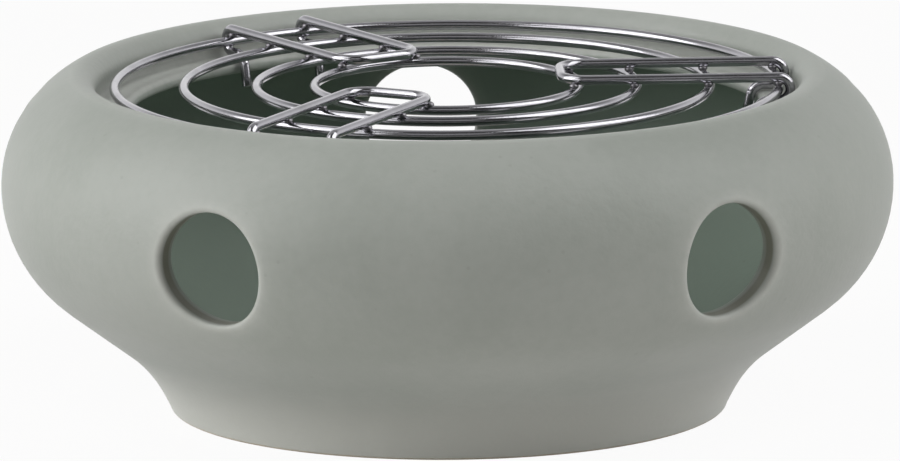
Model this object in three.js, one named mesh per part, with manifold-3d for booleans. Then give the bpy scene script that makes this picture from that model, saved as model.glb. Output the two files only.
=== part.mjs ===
// Teapot warmer: a round stoneware bowl with vent holes, a lift-off wire rack and a tealight inside.
// Millimetres, +Z up, the origin on the table under the middle of the foot, the front towards -Y.
import * as THREE from "three";
import { mergeVertices } from "three/addons/utils/BufferGeometryUtils.js";
import Module from "manifold-3d";

// Bowl, outside
const BELLY_RADIUS = 80;
const BELLY_HEIGHT = 40.6; // height of the widest line
const BELLY_ROUND = 25.4; // radius of the belly's section below the widest line
const FOOT_RADIUS = 50;
const FOOT_HEIGHT = 8.5; // height of the foot's steep side
const FOOT_FLARE = 4; // how far that side leans out
const FOOT_EDGE = 0.8;
const FOOT_LAND = 6.5; // width of the ring that stands on the table
const FOOT_DEPTH = 2.5; // hollow under the base
const WAIST_COVE = 26; // hollow round between the foot and the cone above it
const RIM_HEIGHT = 60.8;
const RIM_INSET = 13.6; // from the widest line in to the middle of the rim
const RIM_ROUND = 3.5;

// Bowl, inside
const WALL = 4.6;
const LEDGE_LAND = 5; // flat width of the ledge that carries the rack
const LIP_NOSE = 1.2; // half the thickness of the lip, which ends in a full round
const RECESS_COVE = 1.2;
const CAVITY_ROUND = 5;
const FLOOR_ROUND = 7;

// Vent holes
const VENT_COUNT = 5;
const VENT_DIAMETER = 20.5;
const VENT_HEIGHT = 37.8;
const VENT_TURN = THREE.MathUtils.degToRad(3.6); // the front pair stands a little to the right

// Wire rack
const WIRE = 1.8;
const RACK_PROUD = 0.3; // height of the rack's top over the rim
const RECESS_PLAY = 0.4; // side play of the rack in its recess
const FIRST_GAP = 12.4; // between the centres of the outer and the second ring
const SECOND_GAP = 13;
const THIRD_GAP = 10.4;
const HAIRPIN_TURN = THREE.MathUtils.degToRad(3);
const HAIRPIN_WIDTH = 15.8; // between the centres of its two legs
const HAIRPIN_INSET = 3.3; // how far the closed end reaches inside the inner ring
const HAIRPIN_CORNER = 4.5;
const TOE_LENGTH = 3.6; // straight wire below the toe's bend
const TOE_LEAN = THREE.MathUtils.degToRad(12);

// Tealight
const CUP_RADIUS = 18.6;
const CUP_HEIGHT = 16;
const CUP_WALL = 0.5;
const CUP_BEAD = 0.6; // radius of the rolled edge
const CUP_HEEL = 1; // bevel round the cup's base
const WAX_DROP = 2.6; // wax level below the cup's edge
const SUSTAINER_RADIUS = 7;
const SUSTAINER_PLATE = 0.5;
const SUSTAINER_NECK = 5; // height of the tube that grips the wick
const SUSTAINER_WALL = 0.5;
const WICK = 1.6;
const WICK_RISE = 6; // wick above the wax
const SEAT_PLAY = 1.2; // side play of the cup in its seat
const SEAT_BEAD = 1.2; // half the width of the raised ring round the seat
const SEAT_RISE = 2;

const CONTACT = 0.3; // gap that touching pieces keep

// Facets
const BOWL_SIDES = 56;
const VENT_SIDES = 28;
const WIRE_SIDES = 8;
const RING_FACET = 7.5; // length of one facet along a ring
const CUP_SIDES = 32;
const WICK_SIDES = 10;

// Heights and radii that follow from the sizes above
const CROSSING = WIRE + CONTACT; // between the centres of two wires that cross
const LEG_LEVEL = RIM_HEIGHT + RACK_PROUD - WIRE / 2;
const RING_LEVEL = LEG_LEVEL - CROSSING;
const UNDER_LEVEL = RING_LEVEL - CROSSING;
const LEDGE_HEIGHT = UNDER_LEVEL - WIRE / 2 - CONTACT;
const RECESS_RADIUS = BELLY_RADIUS - RIM_INSET - RIM_ROUND;
const NOSE_RADIUS = RECESS_RADIUS - LEDGE_LAND; // where the lip starts to round off
const OUTER_RING = RECESS_RADIUS - RECESS_PLAY - WIRE / 2 - CROSSING;
const SECOND_RING = OUTER_RING - FIRST_GAP;
const THIRD_RING = SECOND_RING - SECOND_GAP;
const INNER_RING = THIRD_RING - THIRD_GAP;
const FLOOR_HEIGHT = FOOT_DEPTH + WALL;
const CUP_BASE = FLOOR_HEIGHT + CONTACT;
const CUP_FLOOR = CUP_BASE + CUP_WALL;
const WAX_LEVEL = CUP_BASE + CUP_HEIGHT - WAX_DROP;
const PLATE_BASE = CUP_FLOOR + CONTACT;
const PLATE_TOP = PLATE_BASE + SUSTAINER_PLATE;
const NECK_BORE = WICK / 2 + CONTACT;
const NECK_TOP = PLATE_TOP + SUSTAINER_NECK;

const stoneware = new THREE.MeshStandardMaterial({ color: 0x9aa098, roughness: 0.5, metalness: 0 });
const chrome = new THREE.MeshStandardMaterial({ color: 0xc9c6cc, roughness: 0.16, metalness: 1 });
const aluminium = new THREE.MeshStandardMaterial({ color: 0xd4d5d6, roughness: 0.32, metalness: 1 });
const tinplate = new THREE.MeshStandardMaterial({ color: 0xb9bab8, roughness: 0.35, metalness: 1 });
const paraffin = new THREE.MeshStandardMaterial({ color: 0xf1efe8, roughness: 0.5, metalness: 0 });
const cotton = new THREE.MeshStandardMaterial({ color: 0xece6d8, roughness: 0.95, metalness: 0 });

const wasm = await Module();
wasm.setup();

// A closed three.js geometry as a solid that can be cut.
function solidFrom(geometry) {
  const bare = geometry.clone();
  bare.deleteAttribute("normal");
  bare.deleteAttribute("uv");
  const merged = mergeVertices(bare, 1e-4);
  const vertProperties = merged.attributes.position.array;
  const triVerts = new Uint32Array(merged.index.array);
  return new wasm.Manifold(new wasm.Mesh({ numProp: 3, vertProperties, triVerts }));
}

// A solid back as a geometry for a mesh.
function geometryFrom(solid) {
  const { vertProperties, triVerts } = solid.getMesh();
  const geometry = new THREE.BufferGeometry();
  geometry.setAttribute("position", new THREE.BufferAttribute(vertProperties, 3));
  geometry.setIndex(new THREE.BufferAttribute(triVerts, 1));
  geometry.computeVertexNormals();
  return geometry;
}

function named(name, geometry, material) {
  const mesh = new THREE.Mesh(geometry, material);
  mesh.name = name;
  return mesh;
}

// In a section x is the radius and y the height.
const point = (radius, height) => new THREE.Vector2(radius, height);
const polar = (angle) => point(Math.cos(angle), Math.sin(angle));

// Points of an arc in a section, anticlockwise where the angle grows.
function arc(centre, radius, from, to, steps) {
  return new THREE.EllipseCurve(centre.x, centre.y, radius, radius, from, to, to < from).getPoints(steps);
}

// A section turned about the Z axis, drawn up its outside and down its inside.
function turned(section, sides) {
  return new THREE.LatheGeometry(section, sides).rotateX(Math.PI / 2);
}

// Centre and direction of the cone that runs from the belly down to the foot.
function waistCone() {
  const belly = point(BELLY_RADIUS - BELLY_ROUND, BELLY_HEIGHT);
  const waist = point(FOOT_RADIUS + FOOT_FLARE, FOOT_HEIGHT);
  const reach = waist.clone().sub(belly);
  const facing = Math.atan2(reach.y, reach.x) + Math.acos(BELLY_ROUND / reach.length());
  return { belly, waist, facing, outward: polar(facing), down: polar(facing - Math.PI / 2) };
}

// Centre and radius of the upper belly, which touches the widest line and the round of the rim.
function upperBelly() {
  const rise = RIM_HEIGHT - RIM_ROUND - BELLY_HEIGHT;
  const radius = (RIM_INSET ** 2 + rise ** 2 - RIM_ROUND ** 2) / (2 * (RIM_INSET - RIM_ROUND));
  return { centre: point(BELLY_RADIUS - radius, BELLY_HEIGHT), radius };
}

// Outside of the bowl from the middle of the base over the rim to the top of the recess wall.
function outerSection() {
  const { belly, waist, facing, outward, down } = waistCone();
  const foot = point(FOOT_RADIUS, FOOT_EDGE);
  const side = foot.clone().sub(waist);
  const coneLength = belly.clone().addScaledVector(outward, BELLY_ROUND).distanceTo(waist);

  // The cove rounds the corner between the cone and the foot's side.
  const halfTurn = down.angleTo(side) / 2;
  const tangent = Math.min(WAIST_COVE * Math.tan(halfTurn), side.length(), coneLength);
  const coveRadius = tangent / Math.tan(halfTurn);
  const cove = waist.clone().addScaledVector(down, -tangent).addScaledVector(outward, coveRadius);
  const coveEnd = facing + Math.PI;

  const upper = upperBelly();
  const rim = point(RECESS_RADIUS + RIM_ROUND, RIM_HEIGHT - RIM_ROUND);
  const rimStart = rim.clone().sub(upper.centre).angle();
  const land = FOOT_RADIUS - FOOT_LAND;
  return [
    point(0, FOOT_DEPTH),
    point(land - FOOT_EDGE, FOOT_DEPTH),
    ...arc(point(land + FOOT_EDGE, FOOT_EDGE), FOOT_EDGE, Math.PI, 1.5 * Math.PI, 2),
    ...arc(point(FOOT_RADIUS - FOOT_EDGE, FOOT_EDGE), FOOT_EDGE, -Math.PI / 2, 0, 2),
    ...arc(cove, coveRadius, coveEnd + 2 * halfTurn, coveEnd, 5),
    ...arc(belly, BELLY_ROUND, facing, 0, 6),
    ...arc(upper.centre, upper.radius, 0, rimStart, 6).slice(1),
    ...arc(rim, RIM_ROUND, rimStart, Math.PI, 6).slice(1),
  ];
}

// Inside of the bowl from the recess wall over the ledge and the lip to the middle of the floor.
function innerSection() {
  const { belly, facing, outward, down } = waistCone();
  const upper = upperBelly();
  const upperHollow = upper.radius - WALL;
  const lowerHollow = BELLY_ROUND - WALL;
  const nose = point(NOSE_RADIUS, LEDGE_HEIGHT - LIP_NOSE);

  // The round under the lip touches the lip's underside and the hollow of the belly.
  const shoulderRise = nose.y - LIP_NOSE - CAVITY_ROUND - BELLY_HEIGHT;
  const shoulderReach = Math.sqrt((upperHollow - CAVITY_ROUND) ** 2 - shoulderRise ** 2);
  const shoulder = point(upper.centre.x + shoulderReach, BELLY_HEIGHT + shoulderRise);
  const shoulderEnd = Math.atan2(shoulderRise, shoulderReach);

  // The round at the floor touches the inside of the cone and the floor.
  const coneTop = belly.clone().addScaledVector(outward, lowerHollow);
  const drop = coneTop.y - outward.y * FLOOR_ROUND - FLOOR_HEIGHT - FLOOR_ROUND;
  const corner = coneTop
    .addScaledVector(down, -drop / down.y)
    .addScaledVector(outward, -FLOOR_ROUND);

  const recess = point(RECESS_RADIUS - RECESS_COVE, LEDGE_HEIGHT + RECESS_COVE);
  const bead = point(CUP_RADIUS + SEAT_PLAY + SEAT_BEAD, FLOOR_HEIGHT + SEAT_RISE - SEAT_BEAD);
  return [
    ...arc(recess, RECESS_COVE, 0, -Math.PI / 2, 2),
    ...arc(nose, LIP_NOSE, Math.PI / 2, 1.5 * Math.PI, 6),
    ...arc(shoulder, CAVITY_ROUND, Math.PI / 2, shoulderEnd, 3),
    ...arc(upper.centre, upperHollow, shoulderEnd, 0, 2).slice(1),
    ...arc(belly, lowerHollow, 0, facing, 5).slice(1),
    ...arc(corner, FLOOR_ROUND, facing, -Math.PI / 2, 3),
    point(bead.x + SEAT_BEAD, FLOOR_HEIGHT),
    ...arc(bead, SEAT_BEAD, 0, Math.PI, 4),
    point(bead.x - SEAT_BEAD, FLOOR_HEIGHT),
    point(0, FLOOR_HEIGHT),
  ];
}

// The bowl with its ring of round vents, bored straight in towards the axis.
function bowl() {
  let solid = solidFrom(turned([...outerSection(), ...innerSection()], BOWL_SIDES));
  const radius = VENT_DIAMETER / 2;
  for (let i = 0; i < VENT_COUNT; i++) {
    const angle = VENT_TURN - Math.PI / 2 + ((i + 0.5) / VENT_COUNT) * 2 * Math.PI;
    const drill = new THREE.CylinderGeometry(radius, radius, BELLY_RADIUS, VENT_SIDES);
    drill.rotateZ(Math.PI / 2);
    drill.translate(BELLY_RADIUS, 0, VENT_HEIGHT);
    drill.rotateZ(angle);
    solid = solid.subtract(solidFrom(drill));
  }
  return named("ceramic_bowl", geometryFrom(solid), stoneware);
}

// One closed ring of the rack.
function ring(name, radius) {
  const facets = Math.ceil((2 * Math.PI * radius) / RING_FACET);
  const geometry = new THREE.TorusGeometry(radius, WIRE / 2, WIRE_SIDES, facets);
  return named(name, geometry.translate(0, 0, RING_LEVEL), chrome);
}

// A bend of a wire about a centre, from the end of one arm towards the end of another.
class Bend extends THREE.Curve {
  constructor(centre, start, side, angle) {
    super();
    Object.assign(this, { centre, start, side, angle });
  }

  getPoint(t, target = new THREE.Vector3()) {
    const turn = this.angle * t;
    target.copy(this.centre).addScaledVector(this.start, Math.cos(turn));
    return target.addScaledVector(this.side, Math.sin(turn));
  }
}

// A wire's centre line as a chain of runs, each cut into its own number of steps.
class WireLine extends THREE.Curve {
  constructor(runs) {
    super();
    this.pieces = runs.flatMap(({ curve, steps, back }) =>
      Array.from({ length: steps }, (_, i) => {
        const [from, to] = [i / steps, (i + 1) / steps];
        return back ? { curve, from: 1 - from, to: 1 - to } : { curve, from, to };
      }),
    );
  }

  getPoint(t, target = new THREE.Vector3()) {
    const place = t * this.pieces.length;
    const index = Math.min(Math.floor(place), this.pieces.length - 1);
    const { curve, from, to } = this.pieces[index];
    return target.copy(curve.getPoint(from + (to - from) * (place - index)));
  }

  // Steps follow the runs and not the length of the wire.
  getUtoTmapping(u) {
    return u;
  }
}

// One half of a hairpin, from the middle of its closed end out along a leg, round the outer ring,
// back in under it and down over the bowl's lip.
function hairpinHalf(hand) {
  const offset = (hand * HAIRPIN_WIDTH) / 2;
  const at = (along, height) => new THREE.Vector3(along, offset, height);
  const along = (length) => new THREE.Vector3(length, 0, 0);
  const up = (length) => new THREE.Vector3(0, 0, length);
  const reach = (radius) => Math.sqrt(radius ** 2 - offset ** 2);
  const straight = (a, b, steps) => ({ curve: new THREE.LineCurve3(a, b), steps });

  const end = INNER_RING - HAIRPIN_INSET;
  const inset = new THREE.Vector3(0, hand * HAIRPIN_CORNER, 0);
  const cornerCentre = at(end + HAIRPIN_CORNER, LEG_LEVEL).sub(inset);
  const corner = new Bend(cornerCentre, along(-HAIRPIN_CORNER), inset, Math.PI / 2);
  const endMiddle = new THREE.Vector3(end, 0, LEG_LEVEL);

  const ringCentre = at(reach(OUTER_RING), RING_LEVEL);
  const hook = new Bend(ringCentre, up(CROSSING), along(CROSSING), Math.PI);

  const toeBend = LIP_NOSE + CONTACT + WIRE / 2;
  const lipCentre = at(reach(NOSE_RADIUS), LEDGE_HEIGHT - LIP_NOSE);
  const toe = new Bend(lipCentre, up(toeBend), along(-toeBend), Math.PI / 2 - TOE_LEAN);
  const toeTop = toe.getPoint(1);
  const toeDrop = new THREE.Vector3(-Math.sin(TOE_LEAN), 0, -Math.cos(TOE_LEAN));
  const toeEnd = toeTop.clone().addScaledVector(toeDrop, TOE_LENGTH);
  return [
    straight(endMiddle, corner.getPoint(0), 1),
    { curve: corner, steps: 5 },
    straight(corner.getPoint(1), hook.getPoint(0), 2),
    { curve: hook, steps: 8 },
    straight(hook.getPoint(1), toe.getPoint(0), 1),
    { curve: toe, steps: 5 },
    straight(toeTop, toeEnd, 1),
  ];
}

// One hairpin spoke, bent from a single wire that lies over the rings.
function hairpin(name, angle) {
  const firstHalf = hairpinHalf(-1).reverse().map((run) => ({ ...run, back: true }));
  const line = new WireLine([...firstHalf, ...hairpinHalf(1)]);
  const section = new THREE.Shape().absarc(0, 0, WIRE / 2, 0, 2 * Math.PI);
  const geometry = new THREE.ExtrudeGeometry(section, {
    steps: line.pieces.length,
    curveSegments: WIRE_SIDES / 2,
    extrudePath: line,
  });
  const mesh = named(name, geometry, chrome);
  mesh.rotation.z = angle;
  return mesh;
}

// The rack: four rings under three hairpin spokes.
function rack() {
  const group = new THREE.Group();
  group.add(ring("outer_ring", OUTER_RING));
  group.add(ring("second_ring", SECOND_RING));
  group.add(ring("third_ring", THIRD_RING));
  group.add(ring("inner_ring", INNER_RING));
  const names = ["right_hairpin", "back_hairpin", "front_hairpin"];
  names.forEach((name, i) => {
    group.add(hairpin(name, HAIRPIN_TURN + (i / names.length) * 2 * Math.PI));
  });
  return group;
}

// The tealight's drawn cup with its rolled edge.
function tealightCup() {
  const inner = CUP_RADIUS - CUP_WALL;
  const bead = point(inner + CUP_BEAD, CUP_BASE + CUP_HEIGHT - CUP_BEAD);
  const beadStart = -Math.acos((CUP_WALL - CUP_BEAD) / CUP_BEAD);
  const section = [
    point(0, CUP_BASE),
    point(CUP_RADIUS - CUP_HEEL, CUP_BASE),
    point(CUP_RADIUS, CUP_BASE + CUP_HEEL),
    ...arc(bead, CUP_BEAD, beadStart, Math.PI, 7),
    point(inner, CUP_FLOOR + CUP_HEEL),
    point(inner - CUP_HEEL, CUP_FLOOR),
    point(0, CUP_FLOOR),
  ];
  return named("tealight_cup", turned(section, CUP_SIDES), aluminium);
}

// The wax, cast round the wick and its sustainer.
function tealightWax() {
  const outer = CUP_RADIUS - CUP_WALL - CONTACT;
  const base = CUP_FLOOR + CONTACT;
  const plate = SUSTAINER_RADIUS + CONTACT;
  const neck = NECK_BORE + SUSTAINER_WALL + CONTACT;
  const section = [
    point(plate, base),
    point(outer - CUP_HEEL, base),
    point(outer, base + CUP_HEEL),
    point(outer, WAX_LEVEL),
    point(NECK_BORE, WAX_LEVEL),
    point(NECK_BORE, NECK_TOP + CONTACT),
    point(neck, NECK_TOP + CONTACT),
    point(neck, PLATE_TOP + CONTACT),
    point(plate, PLATE_TOP + CONTACT),
    point(plate, base),
  ];
  return named("tealight_wax", turned(section, CUP_SIDES), paraffin);
}

// The tin plate that holds the wick upright, with its gripping neck.
function wickSustainer() {
  const neck = NECK_BORE + SUSTAINER_WALL;
  const section = [
    point(0, PLATE_BASE),
    point(SUSTAINER_RADIUS, PLATE_BASE),
    point(SUSTAINER_RADIUS, PLATE_TOP),
    point(neck, PLATE_TOP),
    point(neck, NECK_TOP),
    point(NECK_BORE, NECK_TOP),
    point(NECK_BORE, PLATE_TOP),
    point(0, PLATE_TOP),
  ];
  return named("wick_sustainer", turned(section, CUP_SIDES), tinplate);
}

function wick() {
  const radius = WICK / 2;
  const top = WAX_LEVEL + WICK_RISE;
  const section = [
    point(0, PLATE_TOP + CONTACT),
    point(radius, PLATE_TOP + CONTACT),
    ...arc(point(0, top - radius), radius, 0, Math.PI / 2, 3),
  ];
  return named("tealight_wick", turned(section, WICK_SIDES), cotton);
}

const warmer = new THREE.Group();
warmer.add(bowl(), rack(), tealightCup(), tealightWax(), wickSustainer(), wick());

export default warmer;
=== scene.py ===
"""Looks of a teapot warmer: a glazed stoneware bowl, a chromed wire rack and a tealight.

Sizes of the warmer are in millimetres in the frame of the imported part: +Z up, the foot on the
floor at the origin and the front towards -Y. Meshes are written in metres. The studio's sizes
are in metres.
"""

from __future__ import annotations

import logging
import math
from abc import ABC, abstractmethod
from dataclasses import dataclass, field
from enum import Enum
from typing import Mapping, Optional, Sequence, Union

import bpy
import numpy as np
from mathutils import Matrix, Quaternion, Vector

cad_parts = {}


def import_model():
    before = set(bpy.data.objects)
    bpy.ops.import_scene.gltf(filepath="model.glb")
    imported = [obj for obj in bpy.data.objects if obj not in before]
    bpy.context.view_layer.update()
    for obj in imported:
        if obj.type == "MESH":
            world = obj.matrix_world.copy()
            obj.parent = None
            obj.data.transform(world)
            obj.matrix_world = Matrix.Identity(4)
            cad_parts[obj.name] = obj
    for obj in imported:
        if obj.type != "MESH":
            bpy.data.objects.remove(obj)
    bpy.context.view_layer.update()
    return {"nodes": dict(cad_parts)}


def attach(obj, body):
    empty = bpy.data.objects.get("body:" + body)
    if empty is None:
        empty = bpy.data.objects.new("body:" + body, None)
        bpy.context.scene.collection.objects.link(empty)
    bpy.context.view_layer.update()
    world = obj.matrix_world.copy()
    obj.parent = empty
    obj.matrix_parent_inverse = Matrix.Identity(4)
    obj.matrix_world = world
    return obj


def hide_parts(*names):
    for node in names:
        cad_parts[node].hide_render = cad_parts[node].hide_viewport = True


LOG = logging.getLogger("teapot_warmer")
MM = 0.001
FULL_TURN = 2 * math.pi
RIGHT_ANGLE = math.pi / 2
# Lengths below this, in millimetres, count as nothing.
TOUCHING = 1e-6

Point = tuple[float, float]
Colour = tuple[float, float, float, float]


class Body(Enum):
    """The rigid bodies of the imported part."""

    BOWL = "bowl"
    RACK = "rack"
    TEALIGHT = "tealight"


class Slot(Enum):
    """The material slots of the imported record."""

    STONEWARE = "stoneware"
    WIRE = "chromed_wire"
    CUP = "cup"
    WAX = "wax"
    COTTON = "cotton"


class Mask(Enum):
    """Mesh attributes that the finishes read."""

    THIN_AND_LIT = "thin_glaze_and_painted_light"
    POOLED = "pooled_glaze"
    INSIDE_SHADE = "inside_glaze_and_painted_shade"
    BORE = "vent_bore"
    WELD = "weld"


def srgb(red: int, green: int, blue: int) -> Colour:
    """Converts a screen colour to the linear values that shaders take.

    Args:
        red: Red from 0 to 255.
        green: Green from 0 to 255.
        blue: Blue from 0 to 255.

    Returns:
        The linear colour with full alpha.
    """
    scaled = [value / 255 for value in (red, green, blue)]
    linear = [v / 12.92 if v <= 0.04045 else ((v + 0.055) / 1.055) ** 2.4 for v in scaled]
    return (linear[0], linear[1], linear[2], 1.0)


def grey(level: float) -> Colour:
    """Gives a neutral colour of a linear level."""
    return (level, level, level, 1.0)


class Signal:
    """One output of a shader node, with arithmetic that adds Math nodes."""

    def __init__(self, graph: Graph, socket: bpy.types.NodeSocket) -> None:
        """Keeps the graph and the socket."""
        self.graph = graph
        self.socket = socket

    def sibling(self, output: str) -> Signal:
        """Gives another output of the same node."""
        return Signal(self.graph, self.socket.node.outputs[output])

    def _math(self, operation: str, first: Term, second: Term) -> Signal:
        """Adds one Math node.

        Args:
            operation: The Math node's operation.
            first: The upper input.
            second: The lower input.

        Returns:
            The result.
        """
        return self.graph.node("ShaderNodeMath", {"operation": operation}, {0: first, 1: second})

    def __add__(self, other: Term) -> Signal:
        """Adds."""
        return self._math("ADD", self, other)

    def __radd__(self, other: Term) -> Signal:
        """Adds from the right."""
        return self._math("ADD", other, self)

    def __sub__(self, other: Term) -> Signal:
        """Subtracts."""
        return self._math("SUBTRACT", self, other)

    def __rsub__(self, other: Term) -> Signal:
        """Subtracts from a number."""
        return self._math("SUBTRACT", other, self)

    def __mul__(self, other: Term) -> Signal:
        """Multiplies."""
        return self._math("MULTIPLY", self, other)

    def __rmul__(self, other: Term) -> Signal:
        """Multiplies from the right."""
        return self._math("MULTIPLY", other, self)

    def highest(self, other: Term) -> Signal:
        """Takes the larger of two values."""
        return self._math("MAXIMUM", self, other)

    def shared(self, share: float, other: Signal) -> Signal:
        """Takes a share of this value and the rest of another."""
        return self * share + other * (1 - share)

    def ramp(self, low: float, high: float) -> Signal:
        """Rises smoothly from 0 at low to 1 at high, or falls where low is the larger.

        Args:
            low: The value that gives 0.
            high: The value that gives 1.

        Returns:
            A value from 0 to 1.
        """
        if low > high:
            return 1 - self.ramp(high, low)
        settings = {"interpolation_type": "SMOOTHSTEP"}
        inputs = {"Value": self, "From Min": low, "From Max": high}
        return self.graph.node("ShaderNodeMapRange", settings, inputs)


Term = Union[Signal, float]


class Graph:
    """The shader nodes of one material or world."""

    def __init__(self, tree: bpy.types.NodeTree) -> None:
        """Starts from an empty tree."""
        self.tree = tree
        tree.nodes.clear()

    def node(
        self,
        kind: str,
        settings: Optional[Mapping[str, object]] = None,
        inputs: Optional[Mapping[Union[str, int], object]] = None,
        output: Union[str, int] = 0,
    ) -> Optional[Signal]:
        """Adds a node.

        Args:
            kind: The node's type.
            settings: Properties, which are set before the sockets.
            inputs: Values or signals for the sockets, by name or number.
            output: The output to give back.

        Returns:
            That output, or None for a node that has none.
        """
        made = self.tree.nodes.new(kind)
        for name, value in (settings or {}).items():
            setattr(made, name, value)
        for key, value in (inputs or {}).items():
            if isinstance(value, Signal):
                self.tree.links.new(value.socket, made.inputs[key])
            else:
                made.inputs[key].default_value = value
        return Signal(self, made.outputs[output]) if made.outputs else None

    def place(self, stretch: Sequence[float] = (1, 1, 1)) -> Signal:
        """Gives the point on the piece in metres, stretched along each axis.

        Args:
            stretch: Factors for X, Y and Z.

        Returns:
            The point as a vector.
        """
        point = self.node("ShaderNodeTexCoord", output="Object")
        settings = {"operation": "MULTIPLY"}
        return self.node("ShaderNodeVectorMath", settings, {0: point, 1: tuple(stretch)})

    def part(self, vector: Signal, axis: str) -> Signal:
        """Takes the X, Y or Z of a vector."""
        return self.node("ShaderNodeSeparateXYZ", None, {0: vector}, output=axis)

    def noise(self, place: Signal, scale: float, detail: float) -> Signal:
        """Adds soft noise from 0 to 1.

        Args:
            place: Where on the piece.
            scale: Grains per metre.
            detail: Octaves of finer grain.

        Returns:
            The noise.
        """
        inputs = {"Vector": place, "Scale": scale, "Detail": detail}
        return self.node("ShaderNodeTexNoise", None, inputs)

    def mask(self, mask: Mask) -> Signal:
        """Reads a mesh attribute."""
        settings = {"attribute_type": "GEOMETRY", "attribute_name": mask.value}
        return self.node("ShaderNodeAttribute", settings, output="Fac")

    def blend(self, factor: Term, first: object, second: object) -> Signal:
        """Mixes two colours.

        Args:
            factor: The share of the second one.
            first: A colour or signal.
            second: A colour or signal.

        Returns:
            The mixed colour.
        """
        settings = {"data_type": "RGBA"}
        return self.node("ShaderNodeMix", settings, {0: factor, 6: first, 7: second}, output=2)

    def bump(self, height: Signal, depth: float) -> Signal:
        """Turns a height from 0 to 1 into a surface direction.

        Args:
            height: The relief.
            depth: The relief's depth in millimetres.

        Returns:
            The direction for a shader's Normal.
        """
        inputs = {"Strength": 1.0, "Distance": depth * MM, "Height": height}
        return self.node("ShaderNodeBump", None, inputs)


def new_material(name: str) -> tuple[bpy.types.Material, Graph]:
    """Makes a node material.

    Args:
        name: Its name.

    Returns:
        The material and its empty graph.
    """
    material = bpy.data.materials.new(name)
    material.use_nodes = True
    return material, Graph(material.node_tree)


class Finish(ABC):
    """A finish, which becomes a material with one Principled shader."""

    name: str

    @abstractmethod
    def sockets(self, graph: Graph) -> dict[str, object]:
        """Works out the shader's sockets.

        Args:
            graph: The material's graph.

        Returns:
            Values and signals by the socket's name.
        """

    def material(self) -> bpy.types.Material:
        """Builds the finish.

        Returns:
            The material.
        """
        material, graph = new_material(self.name)
        shader = graph.node("ShaderNodeBsdfPrincipled", None, self.sockets(graph))
        graph.node("ShaderNodeOutputMaterial", None, {"Surface": shader})
        return material


@dataclass(frozen=True)
class StonewareGlaze(Finish):
    """Satin sage-grey glaze, paler where it thins on edges, with painted light on the ledge and towards
    the foot, greener inside with painted shade, and bare clay under it.
    """

    name = "stoneware_glaze"
    body: Colour = srgb(165, 169, 163)
    shade: Colour = srgb(154, 159, 152)
    # Pale glaze where it thins on edges, also used as painted light on the ledge.
    thin_and_lit: Colour = srgb(188, 191, 185)
    pooled: Colour = srgb(142, 150, 140)
    # Greener tint inside, made darker as painted shade in the hollow and under the lip.
    inside: Colour = srgb(136, 150, 138)
    bore: Colour = srgb(128, 129, 117)
    speck: Colour = srgb(120, 122, 112)
    # Paler towards the foot: painted light from the floor's bounce.
    foot: Colour = srgb(197, 199, 193)
    clay: Colour = srgb(201, 192, 176)
    cloud_scale: float = 26.0
    cloud_share: float = 0.75
    grain_scale: float = 480.0
    drift: Point = (0.3, 0.7)
    speck_scale: float = 420.0
    speck_size: Point = (0.2, 0.08)
    speck_pick: Point = (0.93, 0.95)
    speck_depth: float = 0.15
    pooled_depth: float = 0.6
    thin_and_lit_depth: float = 0.45
    thin_and_lit_grain: float = 0.4
    foot_light_top: float = 16.0
    foot_light_full: float = 2.0
    clay_height: float = 0.35
    clay_fade: float = 0.1
    clay_wander: float = 0.3
    roughness: float = 0.46
    roughness_grain: float = 0.1
    clay_roughness: float = 0.4
    wave_scale: float = 70.0
    wave_share: float = 0.6
    pit_scale: float = 900.0
    relief: float = 0.12
    specular: float = 0.42

    def _glaze(self, graph: Graph, place: Signal, grain: Signal) -> Signal:
        """Colours the glaze by where it thins or pools, with painted light on the ledge, a greener tint
        and painted shade inside, and a few specks.

        Args:
            graph: The material's graph.
            place: Where on the bowl.
            grain: Fine noise.

        Returns:
            The colour.
        """
        drift = graph.noise(place, self.cloud_scale, 3).shared(self.cloud_share, grain)
        cells = {"Vector": place, "Scale": self.speck_scale}
        spot = graph.node("ShaderNodeTexVoronoi", None, cells, output="Distance")
        chosen = graph.node("ShaderNodeTexWhiteNoise", None, {"Vector": spot.sibling("Position")})
        specks = spot.ramp(*self.speck_size) * chosen.ramp(*self.speck_pick)
        thin_and_lit_share = self.thin_and_lit_depth + grain * self.thin_and_lit_grain

        colour = graph.blend(drift.ramp(*self.drift), self.shade, self.body)
        # A greener tint and painted shade inside the bowl and on the lip's nose.
        colour = graph.blend(graph.mask(Mask.INSIDE_SHADE), colour, self.inside)
        colour = graph.blend(graph.mask(Mask.BORE), colour, self.bore)
        colour = graph.blend(graph.mask(Mask.POOLED) * self.pooled_depth, colour, self.pooled)
        # Paler where the glaze thins on edges, and painted light over the recess cove, ledge and top of
        # the lip's nose.
        colour = graph.blend(graph.mask(Mask.THIN_AND_LIT) * thin_and_lit_share, colour, self.thin_and_lit)
        return graph.blend(specks * self.speck_depth, colour, self.speck)

    def sockets(self, graph: Graph) -> dict[str, object]:
        """Works out the shader's sockets.

        Args:
            graph: The material's graph.

        Returns:
            Values and signals by the socket's name.
        """
        place = graph.place()
        grain = graph.noise(place, self.grain_scale, 2)
        height = graph.part(place, "Z")
        # Paler towards the foot on the outside: painted light from the floor's bounce.
        low = height.ramp(self.foot_light_top * MM, self.foot_light_full * MM)
        edge = height + (grain - 0.5) * (self.clay_wander * MM)
        bare = edge.ramp((self.clay_height + self.clay_fade) * MM, self.clay_height * MM)

        colour = self._glaze(graph, place, grain)
        colour = graph.blend(low * (1 - graph.mask(Mask.INSIDE_SHADE)), colour, self.foot)
        waves = graph.noise(place, self.wave_scale, 1)
        pits = graph.noise(place, self.pit_scale, 2)
        gloss = self.roughness + (grain - 0.5) * self.roughness_grain
        return {
            "Base Color": graph.blend(bare, colour, self.clay),
            "Roughness": gloss + bare * self.clay_roughness,
            "Normal": graph.bump(waves.shared(self.wave_share, pits), self.relief),
            "Specular IOR Level": self.specular,
        }


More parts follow.
